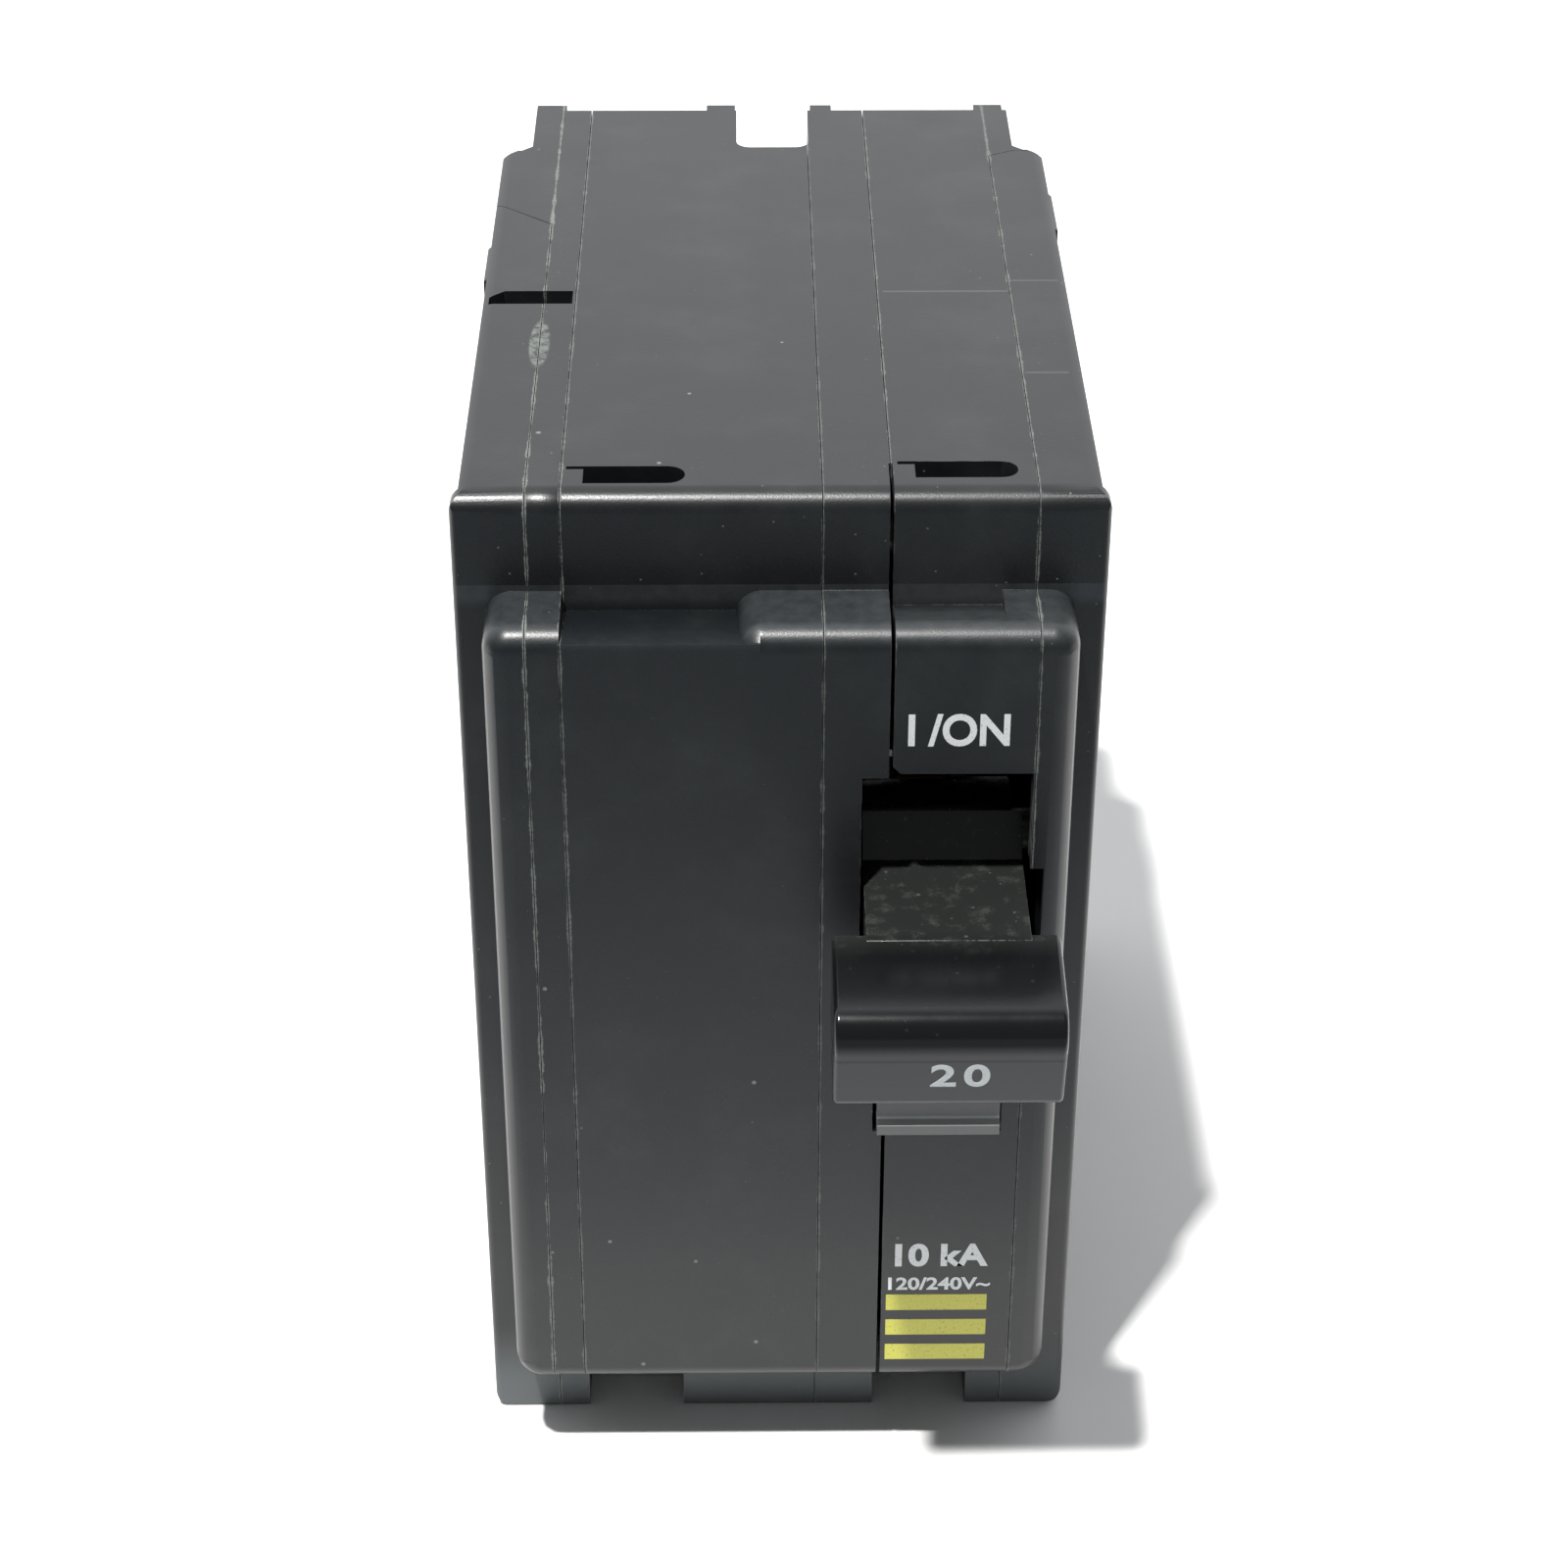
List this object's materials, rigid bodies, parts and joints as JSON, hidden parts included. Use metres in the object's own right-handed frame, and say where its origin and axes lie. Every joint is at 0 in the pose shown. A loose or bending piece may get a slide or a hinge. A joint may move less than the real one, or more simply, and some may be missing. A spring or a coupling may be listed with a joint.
{
  "type": "two-pole circuit breaker",
  "caption": "Two-pole plug-on circuit breaker in a riveted black case of sliced shells, with one toggle handle, line jaws at the back and load screws below.",
  "frame": {"origin": "middle of the box round the part, at the height of the load end it stands on", "axes": "+X across the poles to the right, +Y from the handle to the back, +Z from the load end up to the line end"},
  "size_m": [0.0382, 0.0758, 0.0694],
  "materials": {
    "case_plastic": "satin charcoal phenolic moulding",
    "handle_plastic": "glossy black moulding",
    "bar_plastic": "matt grey moulding",
    "fibre": "vulcanised fibre sheet",
    "steel": "plain bright steel",
    "zinc_plated_steel": "zinc plated",
    "rivet_steel": "rolled steel rivet",
    "copper": "bare copper",
    "tinned_copper": "tin plated copper",
    "silver_alloy": "silver contact alloy",
    "print_white": "white pad print",
    "print_yellow": "yellow pad print"
  },
  "bodies": {
    "housing": {"left_cover": "case_plastic", "left_liner": "case_plastic", "left_base": "case_plastic", "center_frame": "case_plastic", "right_base": "case_plastic", "right_cover": "case_plastic", "rivet_line_front": "rivet_steel", "rivet_line_back": "rivet_steel", "rivet_load_back": "rivet_steel", "rivet_load_middle": "rivet_steel", "handle_pin": "steel", "left_line_jaw": "tinned_copper", "left_fixed_contact": "silver_alloy", "left_toggle_spring": "steel", "left_bimetal": "steel", "left_magnet_yoke": "zinc_plated_steel", "left_braid": "copper", "left_load_strap": "tinned_copper", "left_arc_chute": "fibre", "left_calibration_screw": "zinc_plated_steel", "left_arm_pin": "steel", "left_cradle_pin": "steel", "right_line_jaw": "tinned_copper", "right_fixed_contact": "silver_alloy", "right_toggle_spring": "steel", "right_bimetal": "steel", "right_magnet_yoke": "zinc_plated_steel", "right_braid": "copper", "right_load_strap": "tinned_copper", "right_arc_chute": "fibre", "right_calibration_screw": "zinc_plated_steel", "right_arm_pin": "steel", "right_cradle_pin": "steel"},
    "handle": {"handle": "handle_plastic", "cross_bar": "steel", "left_crank": "bar_plastic"},
    "trip_bar": {"trip_bar": "bar_plastic"},
    "left_contact_arm": {"left_contact_arm": "copper", "left_moving_contact": "silver_alloy"},
    "left_cradle": {"left_cradle": "zinc_plated_steel"},
    "left_armature": {"left_armature": "zinc_plated_steel"},
    "left_pressure_plate": {"left_pressure_plate": "zinc_plated_steel"},
    "left_terminal_screw": {"left_terminal_screw": "zinc_plated_steel"},
    "right_contact_arm": {"right_contact_arm": "copper", "right_moving_contact": "silver_alloy"},
    "right_cradle": {"right_cradle": "zinc_plated_steel"},
    "right_armature": {"right_armature": "zinc_plated_steel"},
    "right_pressure_plate": {"right_pressure_plate": "zinc_plated_steel"},
    "right_terminal_screw": {"right_terminal_screw": "zinc_plated_steel"}
  },
  "joints": [
    {"name": "handle_throw", "type": "hinge", "parent": "housing", "child": "handle", "pos_m": [0, -0.01185, 0.0403], "axis": [-1, 0, 0], "range_deg": [0, 26]},
    {"name": "trip_bar_turn", "type": "hinge", "parent": "housing", "child": "trip_bar", "pos_m": [0, -0.00735, 0.022], "axis": [-1, 0, 0], "range_deg": [0, 8], "stiffness_Nm_per_rad": 0.002, "springref_deg": -11.46},
    {"name": "left_contact_swing", "type": "hinge", "parent": "housing", "child": "left_contact_arm", "pos_m": [-0.00953, -0.00185, 0.034], "axis": [-1, 0, 0], "range_deg": [0, 12]},
    {"name": "left_cradle_drop", "type": "hinge", "parent": "housing", "child": "left_cradle", "pos_m": [-0.00953, 0.01015, 0.038], "axis": [1, 0, 0], "range_deg": [0, 15]},
    {"name": "left_armature_pull", "type": "hinge", "parent": "housing", "child": "left_armature", "pos_m": [-0.00953, 0.00065, 0.031], "axis": [1, 0, 0], "range_deg": [0, 4], "stiffness_Nm_per_rad": 0.002, "springref_deg": -11.46},
    {"name": "left_clamp_slide", "type": "slide", "parent": "housing", "child": "left_pressure_plate", "axis": [0, 1, 0], "range_m": [0, 0.0048]},
    {"name": "left_screw_turn", "type": "hinge", "parent": "left_pressure_plate", "child": "left_terminal_screw", "pos_m": [-0.00953, -0.01585, 0.004], "axis": [0, 1, 0], "range_deg": [0, 2160]},
    {"name": "right_contact_swing", "type": "hinge", "parent": "housing", "child": "right_contact_arm", "pos_m": [0.00953, -0.00185, 0.034], "axis": [-1, 0, 0], "range_deg": [0, 12]},
    {"name": "right_cradle_drop", "type": "hinge", "parent": "housing", "child": "right_cradle", "pos_m": [0.00953, 0.01015, 0.038], "axis": [1, 0, 0], "range_deg": [0, 15]},
    {"name": "right_armature_pull", "type": "hinge", "parent": "housing", "child": "right_armature", "pos_m": [0.00953, 0.00065, 0.031], "axis": [1, 0, 0], "range_deg": [0, 4], "stiffness_Nm_per_rad": 0.002, "springref_deg": -11.46},
    {"name": "right_clamp_slide", "type": "slide", "parent": "housing", "child": "right_pressure_plate", "axis": [0, 1, 0], "range_m": [0, 0.0048]},
    {"name": "right_screw_turn", "type": "hinge", "parent": "right_pressure_plate", "child": "right_terminal_screw", "pos_m": [0.00953, -0.01585, 0.004], "axis": [0, 1, 0], "range_deg": [0, 2160]}
  ],
  "couplings": [
    {"joint": "left_contact_swing", "follows": "handle_throw", "ratio": 0.46154},
    {"joint": "left_cradle_drop", "follows": "trip_bar_turn", "ratio": 1.875},
    {"joint": "left_clamp_slide", "follows": "left_screw_turn", "m_per_rad": 0.00012637},
    {"joint": "right_contact_swing", "follows": "handle_throw", "ratio": 0.46154},
    {"joint": "right_cradle_drop", "follows": "trip_bar_turn", "ratio": 1.875},
    {"joint": "right_clamp_slide", "follows": "right_screw_turn", "m_per_rad": 0.00012637}
  ]
}
